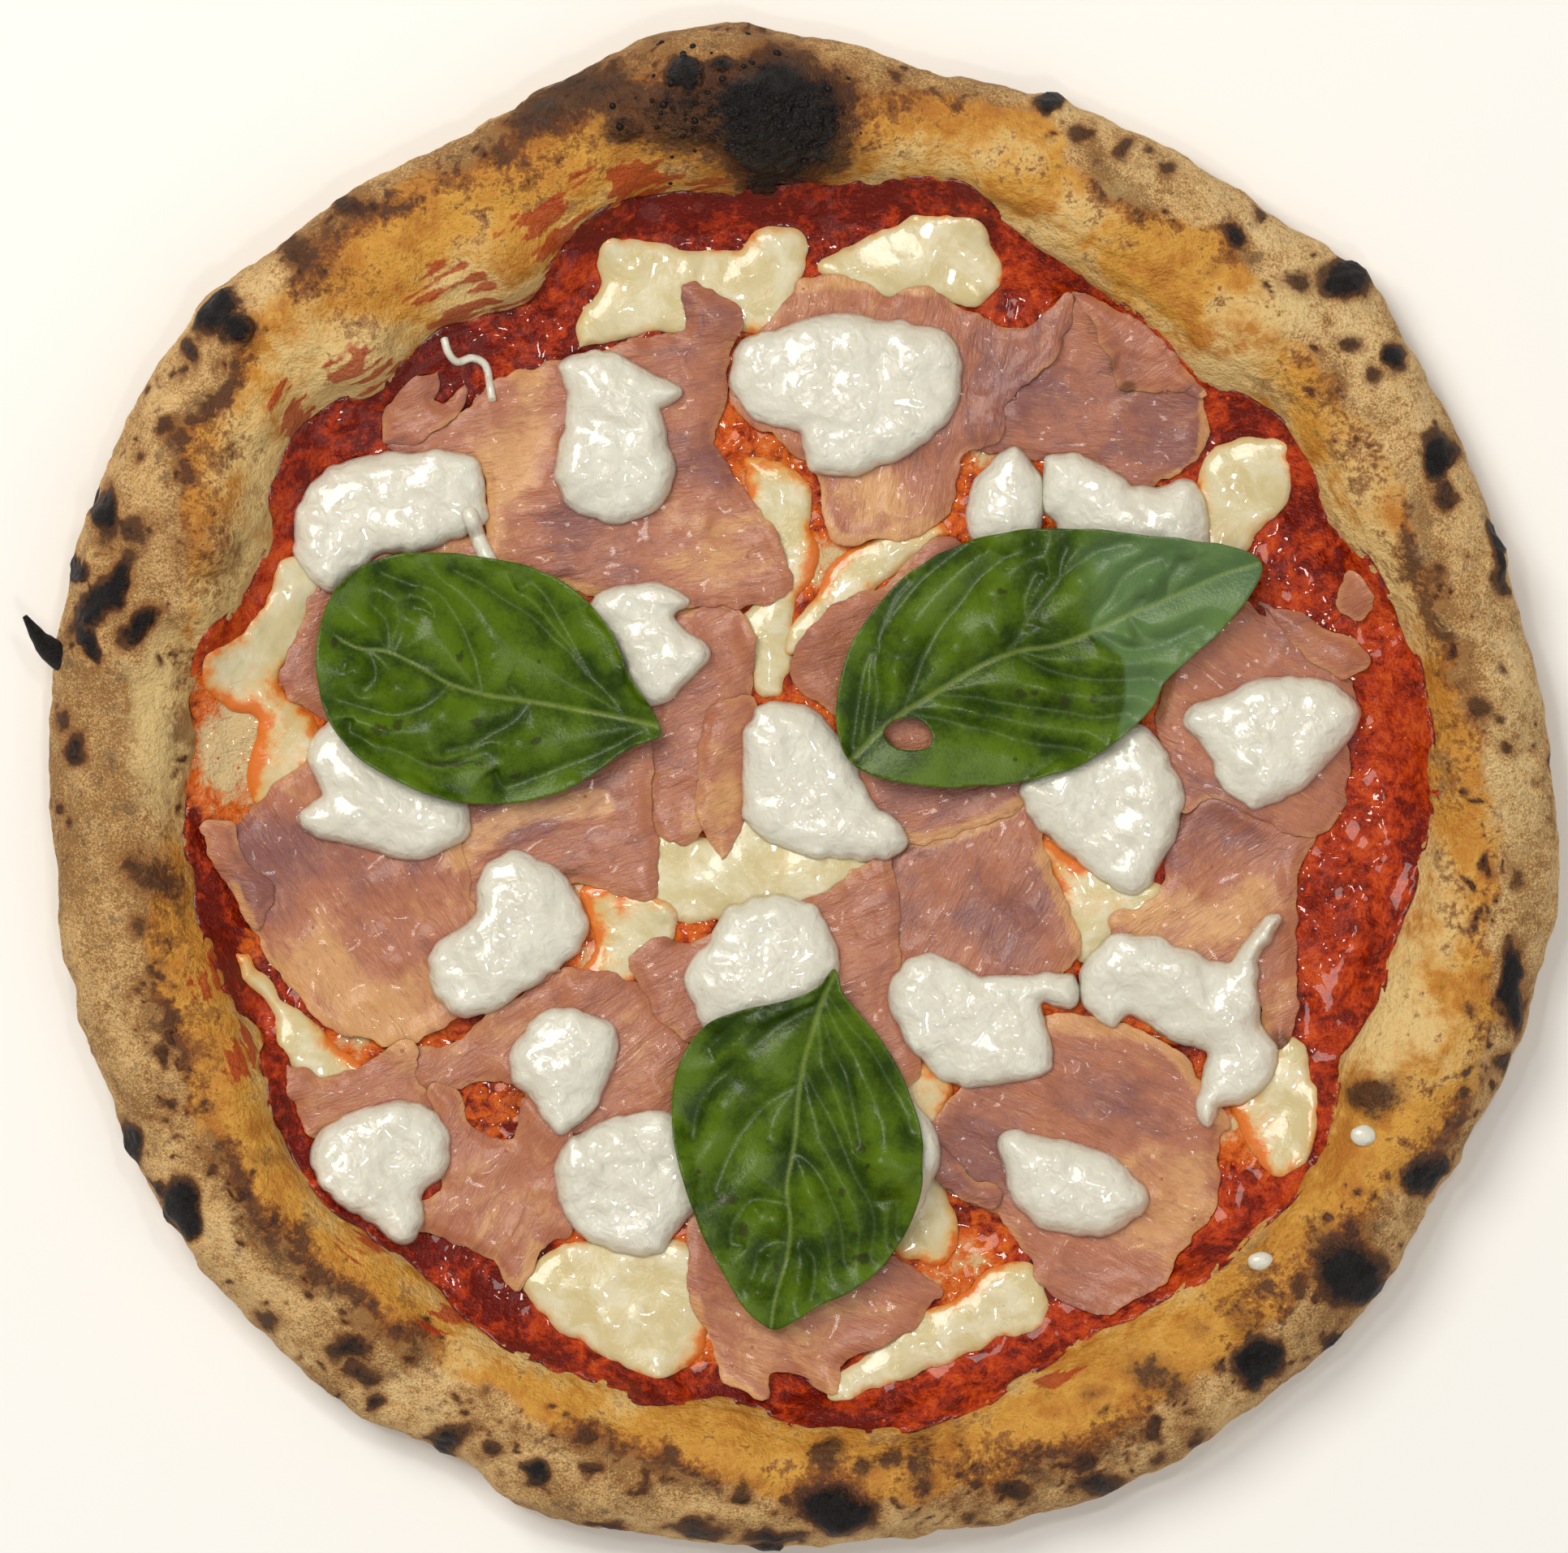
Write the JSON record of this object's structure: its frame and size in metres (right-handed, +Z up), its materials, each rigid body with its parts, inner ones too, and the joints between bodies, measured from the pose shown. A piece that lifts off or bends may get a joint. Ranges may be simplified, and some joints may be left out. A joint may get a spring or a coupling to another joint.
{
  "type": "ham and stracciatella pizza",
  "caption": "Round Neapolitan-style pizza with a puffed, charred rim, tomato sauce, melted mozzarella, cooked ham slices, stracciatella dollops and basil leaves.",
  "frame": {"origin": "under the middle of the pizza's bounding box, on the plane it rests on", "axes": "+Z up; +Y towards the burnt dome of the rim; +X to the right seen from above with that dome at the top"},
  "size_m": [0.3154, 0.3142, 0.0311],
  "materials": {
    "crust": "baked dough: dusty floured tan outside, golden brown inside, with charred leopard spots",
    "tomato_sauce": "wet, pulpy cooked tomato",
    "mozzarella": "melted, glossy cream yellow with orange oil tints",
    "ham": "moist salmon pink cooked ham with darker muscle and pale fat",
    "stracciatella": "wet, lumpy white cream cheese",
    "basil": "glossy fresh green leaf with lighter veins"
  },
  "bodies": {
    "root": {"crust": "crust", "tomato_sauce": "tomato_sauce", "mozzarella_01": "mozzarella", "mozzarella_02": "mozzarella", "mozzarella_03": "mozzarella", "mozzarella_04": "mozzarella", "mozzarella_05": "mozzarella", "mozzarella_06": "mozzarella", "mozzarella_07": "mozzarella", "mozzarella_08": "mozzarella", "mozzarella_09": "mozzarella", "mozzarella_10": "mozzarella", "mozzarella_11": "mozzarella", "mozzarella_12": "mozzarella", "mozzarella_13": "mozzarella", "mozzarella_14": "mozzarella", "ham_01": "ham", "ham_02": "ham", "ham_03": "ham", "ham_04": "ham", "ham_05": "ham", "ham_06": "ham", "ham_07": "ham", "ham_08": "ham", "ham_09": "ham", "ham_10": "ham", "ham_11": "ham", "ham_12": "ham", "ham_13": "ham", "ham_14": "ham", "ham_15": "ham", "ham_16": "ham", "ham_17": "ham", "ham_18": "ham", "ham_19": "ham", "ham_20": "ham", "stracciatella_01": "stracciatella", "stracciatella_02": "stracciatella", "stracciatella_03": "stracciatella", "stracciatella_04": "stracciatella", "stracciatella_05": "stracciatella", "stracciatella_06": "stracciatella", "stracciatella_07": "stracciatella", "stracciatella_08": "stracciatella", "stracciatella_09": "stracciatella", "stracciatella_10": "stracciatella", "stracciatella_11": "stracciatella", "stracciatella_12": "stracciatella", "stracciatella_13": "stracciatella", "stracciatella_14": "stracciatella", "stracciatella_15": "stracciatella", "stracciatella_16": "stracciatella", "stracciatella_17": "stracciatella", "stracciatella_18": "stracciatella", "stracciatella_19": "stracciatella", "basil_left": "basil", "basil_right": "basil", "basil_lower": "basil"}
  },
  "joints": []
}
